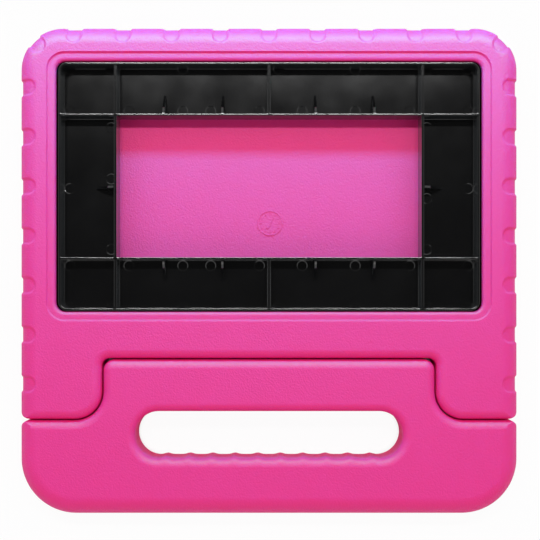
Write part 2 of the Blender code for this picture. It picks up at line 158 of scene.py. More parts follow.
class CaseForm(bpy.types.PropertyGroup):
    """The outer form, and the seam between the shell and the handle"""

    edge_radius: length("Edge radius", "Round edge of the whole case, front and back", 0.009)
    top_corner: length("Top corner", "Radius of the two corners at the top", 0.021)
    foot_corner: length("Foot corner", "Radius of the two corners at the handle's end", 0.0275)
    seam_gap: length("Seam gap", "Width of the seam between shell and handle", 0.0006)
    seam_edge: length("Seam edge radius", "Round edges along the seam, front and back", 0.0046)
    seam_end: length("Seam end radius", "Corner where the seam meets the rim", 0.005)
    tongue_corner: length("Tongue corner", "Corner of the handle's tongue", 0.0053)
    recess_corner: length("Recess corner", "Corner of the shell's recess round the tongue", 0.0038)
    lobe_radius: length("Lobe radius", "Round inner corner of the shell's two lobes", 0.0135)


class WindowForm(bpy.types.PropertyGroup):
    """The window in the front of the shell, and the pocket behind it"""

    width: length("Width", "Width of the window", 0.2095)
    height: length("Height", "Height of the window", 0.1231)
    corner: length("Corner", "Radius of the window's corners", 0.0044)
    lip_edge: length("Lip edge radius", "Round edge of the lip that holds the tablet", 0.002)
    lip_thickness: length("Lip thickness", "Thickness of the lip", 0.003)
    lip_overlap: length("Lip overlap", "How far the pocket reaches under the lip", 0.003)
    ledge_width: length("Ledge width", "Width of the sunk ledge round the window", 0.0043)
    ledge_depth: length("Ledge depth", "How far the ledge lies below the front", 0.001)
    ledge_slope: length("Ledge slope", "Width of the soft step down to the ledge", 0.0009)
    pocket_gap: length("Pocket gap", "Clearance under the tray", 0.0003)
    pocket_corner: length("Pocket floor radius", "Round foot of the pocket's wall", 0.0008)


class GripDents(bpy.types.PropertyGroup):
    """The row of dents round the rim of the shell"""

    width: length("Width", "Width of a dent along the rim", 0.0076)
    reach: length("Reach", "How far a dent reaches in from the rim", 0.0082)
    depth: length("Depth", "Depth of a dent", 0.00075)
    softness: length("Softness", "Half the width of a dent's sloping edge", 0.0006)
    top_count: count("Dents at the top", "Dents along the top edge", 9)
    side_count: count("Dents at a side", "Dents along each side", 7)
    top_pitch: length("Top pitch", "Distance between the dents along the top", 0.024)
    side_pitch: length("Side pitch", "Distance between the dents along a side", 0.02435)
    above_seam: length("Above the seam", "Height of the lowest dent above the seam", 0.0178)


class HandSlot(bpy.types.PropertyGroup):
    """The slot for the hand, with finger waves along its lower edge"""

    width: length("Width", "Width of the slot", 0.132)
    height: length("Height", "Height of the slot", 0.0234)
    above_foot: length("Above the foot", "Foam between the slot and the handle's end", 0.0276)
    edge_radius: length("Edge radius", "Round edge of the slot, front and back", 0.004)
    waves: count("Waves", "Finger waves along the lower edge", 9)
    pitch: length("Wave pitch", "Distance between two crests", 0.0114)
    wave_depth: length("Wave depth", "Height of a crest", 0.00075)
    sharpness: count("Crest sharpness", "Narrowness of the crests", 3)


class MouldDial(bpy.types.PropertyGroup):
    """The plain raised dial on the pocket's floor"""

    right: length("To the right", "Distance of the dial from the window's middle, to the right", 0.0005)
    below: length("Below the middle", "Distance of the dial from the window's middle, down", 0.0172)
    height: length("Height", "How far the dial stands out of the floor", 0.0003)
    radius: length("Radius", "Outside of the ring", 0.0064)
    ring_width: length("Ring width", "Width of the ring at the floor", 0.0007)
    ring_slope: length("Ring slope", "How far each side of the ring leans in", 0.0001)
    ticks: count("Ticks", "Ticks inside the ring", 12)
    tick_start: length("Tick start", "Distance from the dial's centre to the near end of a tick", 0.0042)
    tick_end: length("Tick end", "Distance from the dial's centre to the far end of a tick", 0.0051)
    tick_half: length("Half a tick", "Half the width of a tick", 0.00022)
    pointer_tail: length("Pointer tail", "Distance from the dial's centre to the pointer's wide end", 0.003)
    pointer_tip: length("Pointer tip", "Distance from the dial's centre to the pointer's tip", 0.0034)
    tail_half: length("Half the tail", "Half the width of the pointer's wide end", 0.0007)
    tip_half: length("Half the tip", "Half the width of the pointer's tip", 0.00012)
    direction: FloatProperty(name="Direction", description="Which way the pointer points",
                             default=math.radians(60), subtype="ANGLE", unit="ROTATION")


class TrayForm(bpy.types.PropertyGroup):
    """The ribbed tray in the pocket"""

    wall: length("Wall", "Thickness of the outer wall", 0.001)
    long_rib: length("Long rib", "Thickness of the ribs along the width", 0.001)
    cross_rib: length("Cross rib", "Thickness of the ribs across the tray", 0.0012)
    plate: length("Plate", "Thickness of the floor", 0.0012)
    side_gap: length("Side gap", "Clearance to the window at the sides", 0.00115)
    end_gap: length("End gap", "Clearance to the window at the top and bottom", 0.0005)
    band_width: length("Side band", "Width of the cells at the sides", 0.028)
    band_height: length("Long band", "Height of the cells at the top and bottom", 0.0257)
    corner: length("Corner", "Radius of the tray's corners", 0.0044)
    cell_corner: length("Cell corner", "Radius of the cells' other corners", 0.0006)
    rib_round: length("Rib rounding", "Width of the round top edges of the ribs and the wall", 0.00047)
    rib_crown: length("Rib crown", "Height of the crown on the ribs and the wall", 0.0001)
    draft: length("Draft", "How much a cell narrows towards its floor", 0.00015)
    foot_round: length("Foot rounding", "Round foot of the ribs and the wall", 0.0002)
    web_round: length("Web rounding", "Round edges of the webs", 0.0003)
    gusset: length("Gusset thickness", "Thickness of the webs that brace the middle ribs", 0.001)
    gusset_length: length("Gusset length", "Length of a web along the floor", 0.0115)
    gusset_below: length("Gusset drop", "Step from a rib's top down to its webs", 0.0008)
    gusset_near: length("Near gusset", "Distance of the inner webs from the middle", 0.023)
    gusset_far: length("Far gusset", "Distance of the outer webs from the middle", 0.052)
    gusset_curve: FloatProperty(name="Gusset curve", description="How hollow a web's top is; 1 is straight",
                                default=1.6, min=1.0)
    mark_radius: length("Pin mark radius", "Radius of the marks that the mould's pins leave", 0.0027)
    mark_depth: length("Pin mark depth", "Depth of the pin marks", 0.00014)
    mark_edge: length("Pin mark edge", "Width of the sloping edge of a pin mark", 0.0004)


class HingeForm(bpy.types.PropertyGroup):
    """The pin, sleeves and washer of each hinge"""

    pin_radius: length("Pin radius", "Radius of the steel pin", 0.0015)
    pin_depth: length("Pin depth", "How far the pin reaches into a sleeve", 0.012)
    pin_gap: length("Pin gap", "Clearance round the pin", 0.0001)
    sleeve_radius: length("Sleeve radius", "Radius of a sleeve between its barbs", 0.0026)
    sleeve_length: length("Sleeve length", "Length of a sleeve", 0.0145)
    flange_radius: length("Flange radius", "Radius of a sleeve's flange", 0.0032)
    flange: length("Flange thickness", "Thickness of a sleeve's flange", 0.0008)
    barb: length("Barb height", "Height of a barb", 0.0003)
    barbs: count("Barbs", "Barbs along a sleeve", 3)
    fit_gap: length("Fit gap", "Clearance round a sleeve in the foam", 0.0003)
    washer_radius: length("Washer radius", "Radius of the friction washer", 0.003)
    washer: length("Washer thickness", "Thickness of the friction washer", 0.0008)
    washer_gap: length("Washer gap", "Clearance on each side of the washer", 0.0002)
    chamfer: length("Chamfer", "Broken edge of the turned pieces", 0.00012)


class Finishes(bpy.types.PropertyGroup):
    """Colours and surface grain"""

    foam: colour("Foam", "Colour of the moulded foam", (0.87, 0.017, 0.238))
    foam_deep: colour("Foam shade", "Colour in the foam's darker mottles", (0.84, 0.015, 0.222))
    foam_roughness: share("Foam roughness", "Roughness of the foam's skin", 0.5)
    foam_grain: length("Foam grain", "Size of the grain in the foam's skin", 0.0008)
    foam_mottle: length("Foam mottles", "Size of the foam's darker mottles", 0.012)
    foam_relief: length("Foam relief", "Height of the grain in the foam's skin", 0.00017)
    foam_depth: length("Light depth", "How deep light goes into the foam before it comes out again", 0.003)
    foam_softness: share("Foam softness", "How much of the light goes into the foam", 0.4)
    tray: colour("Tray", "Colour of the tray's plastic", (0.004, 0.004, 0.0043))
    tray_roughness: share("Tray roughness", "Roughness of the tray's plastic", 0.1)
    tray_haze: share("Tray haze", "Pale haze on the tray where it is seen at a low angle", 0.05)
    nylon: colour("Nylon", "Colour of the hinge's sleeves and washers", (0.02, 0.02, 0.022))
    steel: colour("Steel", "Colour of the hinge pins", (0.55, 0.55, 0.56))


class Studio(bpy.types.PropertyGroup):
    """The camera, the lights and the floor"""

    camera: place("Camera", "Where the camera stands", (0.0, -0.0145, 0.6))
    lens: FloatProperty(name="Lens", description="Focal length", default=78.2, unit="CAMERA")
    shift_x: FloatProperty(name="Shift X", description="Sideways shift of the picture", default=0.00185)
    shift_y: FloatProperty(name="Shift Y", description="Upward shift of the picture", default=0.0556)
    aim: place("Aim", "The point that the lamps face", (0.0, 0.03, 0.0))
    high_place: place("High lamp's place", "Middle of the lamp high above the top edge", (0.0, 0.45, 1.14))
    high_size: panel("High lamp's size", "Width and height of the high lamp", (0.60, 0.06))
    high_power: power("High lamp", "Strength of the lamp high above the top edge", 6.2)
    cool_place: place("Cool lamp's place", "Middle of the lamp beyond the top edge", (0.0, 0.225, 0.13))
    cool_size: panel("Cool lamp's size", "Width and height of the cool lamp", (0.50, 0.03))
    cool_power: power("Cool lamp", "Strength of the cool lamp beyond the top edge", 2.8)
    cool_tint: colour("Cool tint", "Colour of the cool lamp", (0.01, 1.0, 0.59))
    low_place: place("Low lamp's place", "Middle of the lamp beyond the handle", (0.0, -0.62, 0.55))
    low_size: panel("Low lamp's size", "Width and height of the low lamp", (0.80, 0.30))
    low_power: power("Low lamp", "Strength of the lamp beyond the handle", 0.4)
    low_tint: colour("Low tint", "Colour of the lamp beyond the handle", (1.0, 0.93, 0.88))
    wall_light: share("Walls", "Strength of the light from the studio's walls", 0.66)
    ceiling_light: share("Ceiling", "Strength of the light from straight above", 0.03)
    wall_top: share("Wall top", "Height at which the walls' light starts to fall; 1 is straight up", 0.82)
    ceiling_edge: share("Ceiling edge", "Height at which only the ceiling's light is left", 0.95)
    floor: colour("Floor", "Colour of the floor", (0.86, 0.86, 0.86))
    floor_glow: share("Floor glow", "How much of plain white the camera sees in the floor", 0.95)
    floor_near: length("Near floor", "A reflection of floor nearer than this doesn't show its glow", 0.045)
    # The next three settings shape the painted contact shadow: ambient occlusion fades the floor's glow
    # near the case.
    shadow_reach: length("Shadow reach", "How far from the case the floor's glow gives way", 0.008)
    shadow_dark: share("Shadow dark", "Openness at which the floor has no glow", 0.15)
    shadow_open: share("Shadow open", "Openness at which the floor has its whole glow", 0.45)


def arc(centre_x, centre_y, radius, start, end, steps=ARC_STEPS):
    """Points of a circular arc from start to end degrees, both ends included."""
    points = []
    for step in range(steps + 1):
        angle = math.radians(start + (end - start) * step / steps)
        points.append((centre_x + radius * math.cos(angle), centre_y + radius * math.sin(angle)))
    return points


def mirrored(half):
    """A closed outline from its right half, which runs from the middle round to the middle."""
    return half + [(-x, y) for x, y in reversed(half) if abs(x) > WELD_DISTANCE]


def rounded_box(width, height, centre_y, radius):
    """A rectangle with rounded corners, centred on the Y axis."""
    side = width / 2 - radius
    low = centre_y - height / 2 + radius
    high = centre_y + height / 2 - radius
    return mirrored(arc(side, low, radius, -90, 0) + arc(side, high, radius, 0, 90))


def soft_step(value):
    """Rises smoothly from 0 to 1 as the value goes from 0 to 1."""
    value = min(max(value, 0.0), 1.0)
    return value * value * (3 - 2 * value)


def quarter(steps=EDGE_STEPS):
    """Pairs of (share of the radius outward, share of the radius inward) along a quarter-round edge."""
    for step in range(steps + 1):
        angle = math.radians(90 * step / steps)
        yield 1 - math.sin(angle), 1 - math.cos(angle)


def object_from(name, shape):
    """A new object that holds the bmesh, with its faces pointing out."""
    bmesh.ops.recalc_face_normals(shape, faces=shape.faces)
    mesh = bpy.data.meshes.new(name)
    shape.to_mesh(mesh)
    shape.free()
    piece = bpy.data.objects.new(name, mesh)
    bpy.context.scene.collection.objects.link(piece)
    return piece


def join_loops(shape, loops):
    """Adds the faces between each loop of corners and the next, which has as many corners."""
    size = len(loops[0])
    for ring, following in zip(loops, loops[1:]):
        for index in range(size):
            after = (index + 1) % size
            shape.faces.new((ring[index], ring[after], following[after], following[index]))


def add_rings(shape, rings):
    """Adds a closed solid through rings of points, which all have as many points."""
    loops = [[shape.verts.new(point) for point in ring] for ring in rings]
    join_loops(shape, loops)
    shape.faces.new(loops[0])
    shape.faces.new(reversed(loops[-1]))


def add_loft(shape, sections):
    """Adds a closed solid through (z, outline) sections, whose outlines have equal numbers of points."""
    add_rings(shape, [[(x, y, z) for x, y in outline] for z, outline in sections])


def loft(name, sections):
    """A closed solid through (z, outline) sections."""
    shape = bmesh.new()
    add_loft(shape, sections)
    return object_from(name, shape)


def join_solids(name, solids):
    """One object from several closed solids, each given as its (z, outline) sections."""
    shape = bmesh.new()
    for sections in solids:
        add_loft(shape, sections)
    return object_from(name, shape)


def round_plate(name, outline_at, low, high, radius):
    """A flat piece between two levels, with round edges, from its outline drawn in by an inset."""
    sections = [(low + inward * radius, outline_at(outward * radius)) for outward, inward in quarter()]
    sections += [(high - (z - low), outline) for z, outline in reversed(sections)]
    return loft(name, sections)


def settle(piece):
    """Replaces the piece's mesh by what its modifiers make of it."""
    graph = bpy.context.evaluated_depsgraph_get()
    mesh = bpy.data.meshes.new_from_object(piece.evaluated_get(graph), depsgraph=graph)
    piece.modifiers.clear()
    plain = piece.data
    piece.data = mesh
    bpy.data.meshes.remove(plain)


def combine(piece, *steps):
    """Applies Boolean steps to the piece, each an operation and a tool, and removes the tools."""
    for operation, tool in steps:
        modifier = piece.modifiers.new(tool.name, "BOOLEAN")
        modifier.operation = operation
        modifier.object = tool
        modifier.solver = "EXACT"
        tool.hide_render = True
        bpy.context.view_layer.update()
    settle(piece)
    for operation, tool in steps:
        mesh = tool.data
        bpy.data.objects.remove(tool, do_unlink=True)
        bpy.data.meshes.remove(mesh)


def smooth(piece, angle):
    """Shades the piece smooth, but for edges sharper than the angle in degrees."""
    piece.data.shade_smooth()
    piece.data.set_sharp_from_angle(angle=math.radians(angle))
    weighted = piece.modifiers.new("even_shading", "WEIGHTED_NORMAL")
    weighted.keep_sharp = True
    weighted.weight = 80


def turned(name, profile, place_of, closed=False):
    """A solid turned about the X axis from its (x, radius) profile, then moved to its place."""
    mesh = bpy.data.meshes.new(name)
    edges = [(index, index + 1) for index in range(len(profile) - 1)]
    if closed:
        edges.append((len(profile) - 1, 0))
    mesh.from_pydata([(x, 0.0, radius) for x, radius in profile], edges, [])
    piece = bpy.data.objects.new(name, mesh)
    bpy.context.scene.collection.objects.link(piece)
    screw = piece.modifiers.new("turn", "SCREW")
    screw.axis = "X"
    screw.steps = TURN_STEPS
    screw.render_steps = TURN_STEPS
    screw.use_merge_vertices = True
    screw.merge_threshold = WELD_DISTANCE
    screw.use_normal_flip = True
    bpy.context.view_layer.update()
    settle(piece)
    piece.data.transform(place_of)
    return piece


def rim_lengths(form):
    """The straight and round runs of the right half of the rim, from the foot's middle to the top's."""
    return (
        SIDE - form.foot_corner,
        form.foot_corner * math.pi / 2,
        TOP - FOOT - form.foot_corner - form.top_corner,
        form.top_corner * math.pi / 2,
        SIDE - form.top_corner,
    )


def rim_point(form, along):
    """The point of the rim and its outward direction in radians, at a distance along its right half."""
    foot_run, foot_turn, side_run, top_turn, top_run = rim_lengths(form)
    foot = form.foot_corner
    top = form.top_corner
    if along <= foot_run:
        return along, FOOT, -math.pi / 2
    along -= foot_run
    if along <= foot_turn:
        turn = along / foot
        return SIDE - foot + foot * math.sin(turn), FOOT + foot - foot * math.cos(turn), turn - math.pi / 2
    along -= foot_turn
    if along <= side_run:
        return SIDE, FOOT + foot + along, 0.0
    along -= side_run
    if along <= top_turn:
        turn = along / top
        return SIDE - top + top * math.cos(turn), TOP - top + top * math.sin(turn), turn
    along -= top_turn
    return SIDE - top - along, TOP, math.pi / 2


def dent_places(form, dents):
    """The rim point, the outward direction in radians and the distance along the half rim of each dent.

    Only the right half is listed, with the dent in the middle of the top; the left half mirrors it.
    """
    foot_run, foot_turn, side_run, top_turn, top_run = rim_lengths(form)
    distances = []
    seam = SHELL_LOW.y - form.seam_gap
    for index in range(dents.side_count):
        y = seam + dents.above_seam + index * dents.side_pitch
        distances.append(foot_run + foot_turn + y - FOOT - form.foot_corner)
    distances.append(foot_run + foot_turn + side_run + top_turn / 2)
    end = foot_run + foot_turn + side_run + top_turn + top_run
    for index in range((dents.top_count + 1) // 2):
        distances.append(end - index * dents.top_pitch)
    return [(*rim_point(form, along), along) for along in distances]


def dent_share(dents, places, x, y):
    """How much of the dents' depth is taken off at a point seen from the front, from 0 to 1."""
    half = dents.width / 2
    share_here = 0.0
    for rim_x, rim_y, direction in places:
        outward = (x - rim_x) * math.cos(direction) + (y - rim_y) * math.sin(direction)
        across = (y - rim_y) * math.cos(direction) - (x - rim_x) * math.sin(direction)
        beyond = max(-outward - (dents.reach - half), 0.0)
        edge = (math.hypot(across, beyond) - half) / dents.softness
        share_here = max(share_here, 1 - soft_step(edge / 2 + 0.5))
    return share_here


def case_block(name, form, dents=None):
    """The rounded block that the shell and the handle are cut from, with grip dents if they are given."""
    marks = dent_places(form, dents) if dents else []
    end = sum(rim_lengths(form))
    near = dents.width / 2 + DENT_MARGIN * dents.softness if dents else 0.0
    distances = [0.0]
    while distances[-1] < end:
        here = distances[-1]
        fine = any(abs(here - mark[3]) < near for mark in marks)
        distances.append(min(here + (DENT_SPACING if fine else RIM_SPACING), end))
    half = [rim_point(form, along) for along in distances]
    rim = half + [(-x, y, math.pi - turn) for x, y, turn in reversed(half) if abs(x) > WELD_DISTANCE]
    places = [mark[:3] for mark in marks]
    places += [(-x, y, math.pi - turn) for x, y, turn in places if x > WELD_DISTANCE]
    radius = form.edge_radius
    tilts = [math.pi / 2 - math.pi / 2 * step / RIM_STEPS for step in range(RIM_STEPS + 1)]
    levels = [(FRONT - radius + radius * math.sin(tilt), tilt) for tilt in tilts]
    for step in range(1, SIDE_STEPS):
        levels.append((FRONT - radius - (FRONT - 2 * radius) * step / SIDE_STEPS, 0.0))
    levels += [(FRONT - z, -tilt) for z, tilt in reversed(levels[:RIM_STEPS + 1])]
    columns = []
    for x, y, turn in rim:
        close = [mark for mark in places if math.hypot(mark[0] - x, mark[1] - y) < DENT_MARGIN * near]
        column = []
        for z, tilt in levels:
            inset = radius * (1 - math.cos(tilt))
            flat_x = x - inset * math.cos(turn)
            flat_y = y - inset * math.sin(turn)
            sunk = dents.depth * dent_share(dents, close, flat_x, flat_y) if close else 0.0
            column.append((
                flat_x - sunk * math.cos(turn) * math.cos(tilt),
                flat_y - sunk * math.sin(turn) * math.cos(tilt),
                z - sunk * math.sin(tilt),
            ))
        columns.append(column)
    shape = bmesh.new()
    add_rings(shape, list(zip(*columns)))
    return object_from(name, shape)


def shell_seam_outline(form, inset):
    """The shell's own outline, seam and all, a little outside the case's outline elsewhere."""
    side = SIDE + 2 * SKIN
    seam = SHELL_LOW.y
    recess_top = HANDLE_HIGH.y + form.seam_gap
    lobe_side = HUB_FACE + form.seam_gap
    recess = form.recess_corner
    lobe = form.lobe_radius
    end = form.seam_end
    half = [(0.0, recess_top + inset)]
    half += arc(lobe_side - recess, recess_top - recess, recess + inset, 90, 0)
    half += arc(lobe_side + lobe, seam + lobe, lobe - inset, 180, 270)
    half += arc(side - end, seam + end, end - inset, 270, 360)
    half += [(side - inset, TOP + OVERRUN), (0.0, TOP + OVERRUN)]
    return mirrored(half)


def handle_seam_outline(form, inset):
    """The handle's own outline, seam and all, a little outside the case's outline elsewhere."""
    side = SIDE + 2 * SKIN
    shoulder = SHELL_LOW.y - form.seam_gap
    tongue = form.tongue_corner
    hollow = form.lobe_radius + form.seam_gap
    end = form.seam_end
    half = [(0.0, FOOT - OVERRUN), (side - inset, FOOT - OVERRUN)]
    half += arc(side - end, shoulder - end, end - inset, 0, 90)
    half += arc(HUB_FACE + hollow, shoulder + hollow, hollow + inset, 270, 180)
    half += arc(HUB_FACE - tongue, HANDLE_HIGH.y - tongue, tongue - inset, 0, 90)
    half += [(0.0, HANDLE_HIGH.y - inset)]
    return mirrored(half)


def seam_block(name, outline, form):
    """The block inside one side of the seam, with the seam's round edges."""
    return round_plate(name, lambda inset: outline(form, inset), -SKIN, FRONT + SKIN, form.seam_edge)


def pocket_space(window):
    """The ledge, the window with its rounded lip, and the pocket behind it."""
    ledge = FRONT - window.ledge_depth
    lip_back = ledge - window.lip_thickness
    floor = TRAY_LOW.z - window.pocket_gap
    wide = window.ledge_width + window.ledge_slope / 2

    def outline(outset):
        width = window.width + 2 * outset
        height = window.height + 2 * outset
        return rounded_box(width, height, WINDOW_CENTRE, window.corner + outset)

    sections = [(FRONT + OVERRUN, outline(wide))]
    for step in range(EDGE_STEPS + 1):
        across = step / EDGE_STEPS
        drop = SKIN + (window.ledge_depth - SKIN) * soft_step(across)
        sections.append((FRONT - drop, outline(wide - window.ledge_slope * across)))
    for outward, inward in quarter():
        sections.append((ledge - inward * window.lip_edge, outline(outward * window.lip_edge)))
    sections += [(lip_back, outline(0.0)), (lip_back, outline(window.lip_overlap))]
    for outward, inward in quarter(SMALL_EDGE_STEPS):
        z = floor + outward * window.pocket_corner
        sections.append((z, outline(window.lip_overlap - inward * window.pocket_corner)))
    return loft("pocket_space", sections)


def slot_space(slot):
    """The hand slot with its finger waves and its rounded edges on both faces."""
    radius = slot.height / 2
    side = slot.width / 2 - radius
    centre = FOOT + slot.above_foot + radius
    span = slot.waves * slot.pitch
    steps = slot.waves * WAVE_STEPS

    def outline(outset, wave_share):
        reach = radius + outset
        lower = []
        for step in range(steps + 1):
            phase = 2 * math.pi * step / WAVE_STEPS
            crest = slot.wave_depth * (0.5 + 0.5 * math.cos(phase)) ** slot.sharpness
            lower.append((-span / 2 + span * step / steps, centre - reach + wave_share * crest))
        right = arc(side, centre, reach, -90, 90, 2 * ARC_STEPS)
        left = arc(-side, centre, reach, 90, 270, 2 * ARC_STEPS)
        return lower + right + left

    edge = slot.edge_radius
    sections = [(FRONT + OVERRUN, outline(edge, 0.0))]
    for outward, inward in quarter():
        sections.append((FRONT - SKIN - inward * edge, outline(outward * edge, 1 - outward)))
    sections += [(FRONT - z, lines) for z, lines in reversed(sections)]
    return loft("slot_space", sections)


def ring_outline(centre_x, centre_y, radius):
    """A circle's points."""
    return arc(centre_x, centre_y, radius, 0, 360, TURN_STEPS)[:-1]


def mould_dial(dial, window):
    """A plain raised dial on the pocket's floor: a ring, ticks and a pointer."""
    floor = TRAY_LOW.z - window.pocket_gap
    low = floor - window.pocket_gap
    high = floor + dial.height
    centre_x = dial.right
    centre_y = WINDOW_CENTRE - dial.below
    outer = dial.radius
    inner = outer - dial.ring_width
    slope = dial.ring_slope
    shape = bmesh.new()
    profile = ((low, inner), (low, outer), (high, outer - slope), (high, inner + slope))
    loops = [[shape.verts.new((x, y, z)) for x, y in ring_outline(centre_x, centre_y, radius)]
             for z, radius in profile]
    join_loops(shape, loops + loops[:1])
    strokes = []
    for tick in range(dial.ticks):
        turn = 2 * math.pi * tick / dial.ticks
        strokes.append((turn, dial.tick_start, dial.tick_end, dial.tick_half, dial.tick_half))
    strokes.append((dial.direction, -dial.pointer_tail, dial.pointer_tip, dial.tail_half, dial.tip_half))
    for turn, start, end, near_half, far_half in strokes:
        corners = ((start, -near_half), (end, -far_half), (end, far_half), (start, near_half))
        outline = []
        for along, across in corners:
            x = centre_x + along * math.cos(turn) - across * math.sin(turn)
            y = centre_y + along * math.sin(turn) + across * math.cos(turn)
            outline.append((x, y))
        add_loft(shape, [(low, outline), (high, outline)])
    return object_from("mould_dial", shape)


def cell_sides(tray, window):
    """(low x, high x, low y, high y, wide corner) of the tray's cells, with the middle one first."""
    half_width = window.width / 2 - tray.side_gap
    half_height = window.height / 2 - tray.end_gap
    wall_x = half_width - tray.wall
    wall_y = half_height - tray.wall
    cross = tray.cross_rib / 2
    cross_x = half_width - tray.band_width
    outer = cross_x + cross
    inner = cross_x - cross
    row = half_height - tray.band_height + tray.long_rib / 2
    middle = half_height - tray.band_height - tray.long_rib / 2
    cells = [(-inner, inner, -middle, middle, "")]
    cells += [(outer, wall_x, -middle, middle, ""), (-wall_x, -outer, -middle, middle, "")]
    for low, high, word in ((row, wall_y, "high"), (-wall_y, -row, "low")):
        cells.append((-wall_x, -outer, low, high, word + "_left"))
        cells.append((-inner, -cross, low, high, ""))
        cells.append((cross, inner, low, high, ""))
        cells.append((outer, wall_x, low, high, word + "_right"))
    return cells


def cell_outline(tray, sides, outset):
    """One cell's outline, let out by outset; a wide corner follows the tray's own round corner."""
    low_x, high_x, low_y, high_y, wide_corner = sides
    points = []
    corners = (("low_right", high_x, low_y), ("high_right", high_x, high_y))
    corners += (("high_left", low_x, high_y), ("low_left", low_x, low_y))
    for index, (word, x, y) in enumerate(corners):
        radius = tray.corner - tray.wall if word == wide_corner else tray.cell_corner
        middle_x = x - radius if word.endswith("right") else x + radius
        middle_y = y + radius if word.startswith("low") else y - radius
        reach = radius + outset
        if reach < tray.draft:
            middle_x += (reach - tray.draft) * (1 if word.endswith("right") else -1)
            middle_y += (reach - tray.draft) * (-1 if word.startswith("low") else 1)
            reach = tray.draft
        start = 90 * index - 90
        points += arc(middle_x, WINDOW_CENTRE + middle_y, reach, start, start + 90, CELL_CORNER_STEPS)
    return points


def cell_space(tray, sides, through):
    """What a cell takes out of the tray, down to a round foot on its floor, or right through."""
    floor = TRAY_LOW.z + tray.plate
    crest = tray.rib_round
    sections = [(TRAY_HIGH.z + OVERRUN, cell_outline(tray, sides, crest))]
    for outward, inward in quarter(CREST_STEPS):
        z = TRAY_HIGH.z - SKIN - inward * tray.rib_crown
        sections.append((z, cell_outline(tray, sides, outward * crest)))
    if through:
        sections.append((TRAY_LOW.z - OVERRUN, cell_outline(tray, sides, -tray.draft)))
        return sections
    for outward, inward in quarter(CREST_STEPS):
        z = floor + outward * tray.foot_round
        sections.append((z, cell_outline(tray, sides, -tray.draft - inward * tray.foot_round)))
    return sections


def tray_block(tray, window):
    """The tray's outer block, from inside its flange up to its round top edge."""
    width = window.width - 2 * tray.side_gap
    height = window.height - 2 * tray.end_gap
    crest = tray.rib_round
    middle = TRAY_LOW.z + tray.plate / 2
    sections = [(middle, rounded_box(width, height, WINDOW_CENTRE, tray.corner))]
    for outward, inward in reversed(list(quarter(CREST_STEPS))):
        outline = rounded_box(width - 2 * outward * crest, height - 2 * outward * crest, WINDOW_CENTRE,
                              tray.corner - outward * crest)
        sections.append((TRAY_HIGH.z - inward * tray.rib_crown, outline))
    return loft("tray_block", sections)


def flange_plate(tray, window):
    """The flange under the lip, and the floor, with a softly broken edge."""
    width = TRAY_HIGH.x - TRAY_LOW.x
    height = TRAY_HIGH.y - TRAY_LOW.y
    corner = window.corner + window.lip_overlap - window.pocket_gap
    edge = tray.draft

    def outline(inset):
        return rounded_box(width - 2 * inset, height - 2 * inset, WINDOW_CENTRE, corner - inset)

    low = TRAY_LOW.z
    high = low + tray.plate
    sections = [(low, outline(edge)), (low + edge, outline(0.0))]
    sections += [(high - edge, outline(0.0)), (high, outline(edge))]
    return loft("ribbed_tray", sections)


def gusset_webs(tray, window):
    """The triangular webs that brace the tray's middle ribs."""
    row = window.height / 2 - tray.end_gap - tray.band_height
    column = window.width / 2 - tray.side_gap - tray.band_width
    places = []
    for offset in (tray.gusset_near, tray.gusset_far):
        for x in (-offset, offset):
            places += [(x, WINDOW_CENTRE + row, 0), (x, WINDOW_CENTRE - row, 180)]
    places += [(column, WINDOW_CENTRE, -90), (-column, WINDOW_CENTRE, 90)]
    half = tray.gusset / 2
    low = TRAY_LOW.z + tray.plate / 2
    high = TRAY_HIGH.z - tray.gusset_below
    drop = high - low
    edges = reversed(list(quarter(SMALL_EDGE_STEPS)))
    profile = [(half - inward * tray.web_round, outward) for outward, inward in edges]
    profile += [(-across, outward) for across, outward in reversed(profile)]
    shape = bmesh.new()
    for x, y, direction in places:
        turn = Matrix.Translation((x, y, 0)) @ Matrix.Rotation(math.radians(direction), 4, "Z")
        rings = []
        for across, outward in profile:
            inset = (1 - outward) * tray.web_round
            ring = [(across, 0.0, low - inset), (across, 0.0, high - inset)]
            for step in range(WEB_STEPS + 1):
                along = step / WEB_STEPS
                y = tray.long_rib + (tray.gusset_length - tray.long_rib) * along
                ring.append((across, y, high - inset - drop * along ** tray.gusset_curve))
            rings.append([turn @ Vector(point) for point in ring])
        add_rings(shape, rings)
    return object_from("gusset_webs", shape)


def pin_marks(tray, window):
    """The round marks that the mould's ejector pins leave in the cells, as shallow cutters."""
    floor = TRAY_LOW.z + tray.plate
    depth = tray.mark_depth
    wall_x = window.width / 2 - tray.side_gap - tray.wall - depth
    wall_y = window.height / 2 - tray.end_gap - tray.wall - depth
    row = window.height / 2 - tray.end_gap - tray.band_height + tray.long_rib / 2
    near_rib = row + tray.mark_radius + depth
    column = window.width / 2 - tray.side_gap - tray.band_width + tray.cross_rib / 2
    inner = column + tray.mark_radius + depth
    outer = wall_x - tray.mark_radius
    places = []
    for x in (-outer, -inner - depth, *WALL_MARKS, inner + depth, outer):
        places += [(x, wall_y - depth), (x, -wall_y + depth)]
    for x in (-outer, *RIB_MARKS, outer):
        places += [(x, near_rib), (x, -near_rib)]
    places += [(-inner, y) for y in LEFT_MARKS] + [(-outer, 0.0)]
    places += [(inner, y) for y in RIGHT_MARKS] + [(outer, 0.0)]
    solids = []
    for x, y in places:
        sections = []
        for side in (-1, 1):
            z = floor + side * depth
            radius = tray.mark_radius + side * tray.mark_edge
            outline = []
            for ring_x, ring_y in ring_outline(x, y, radius):
                inside_y = max(min(ring_y, wall_y), -wall_y)
                outline.append((ring_x, WINDOW_CENTRE + inside_y))
            sections.append((z, outline))
        solids.append(sections)
    return join_solids("pin_marks", solids)


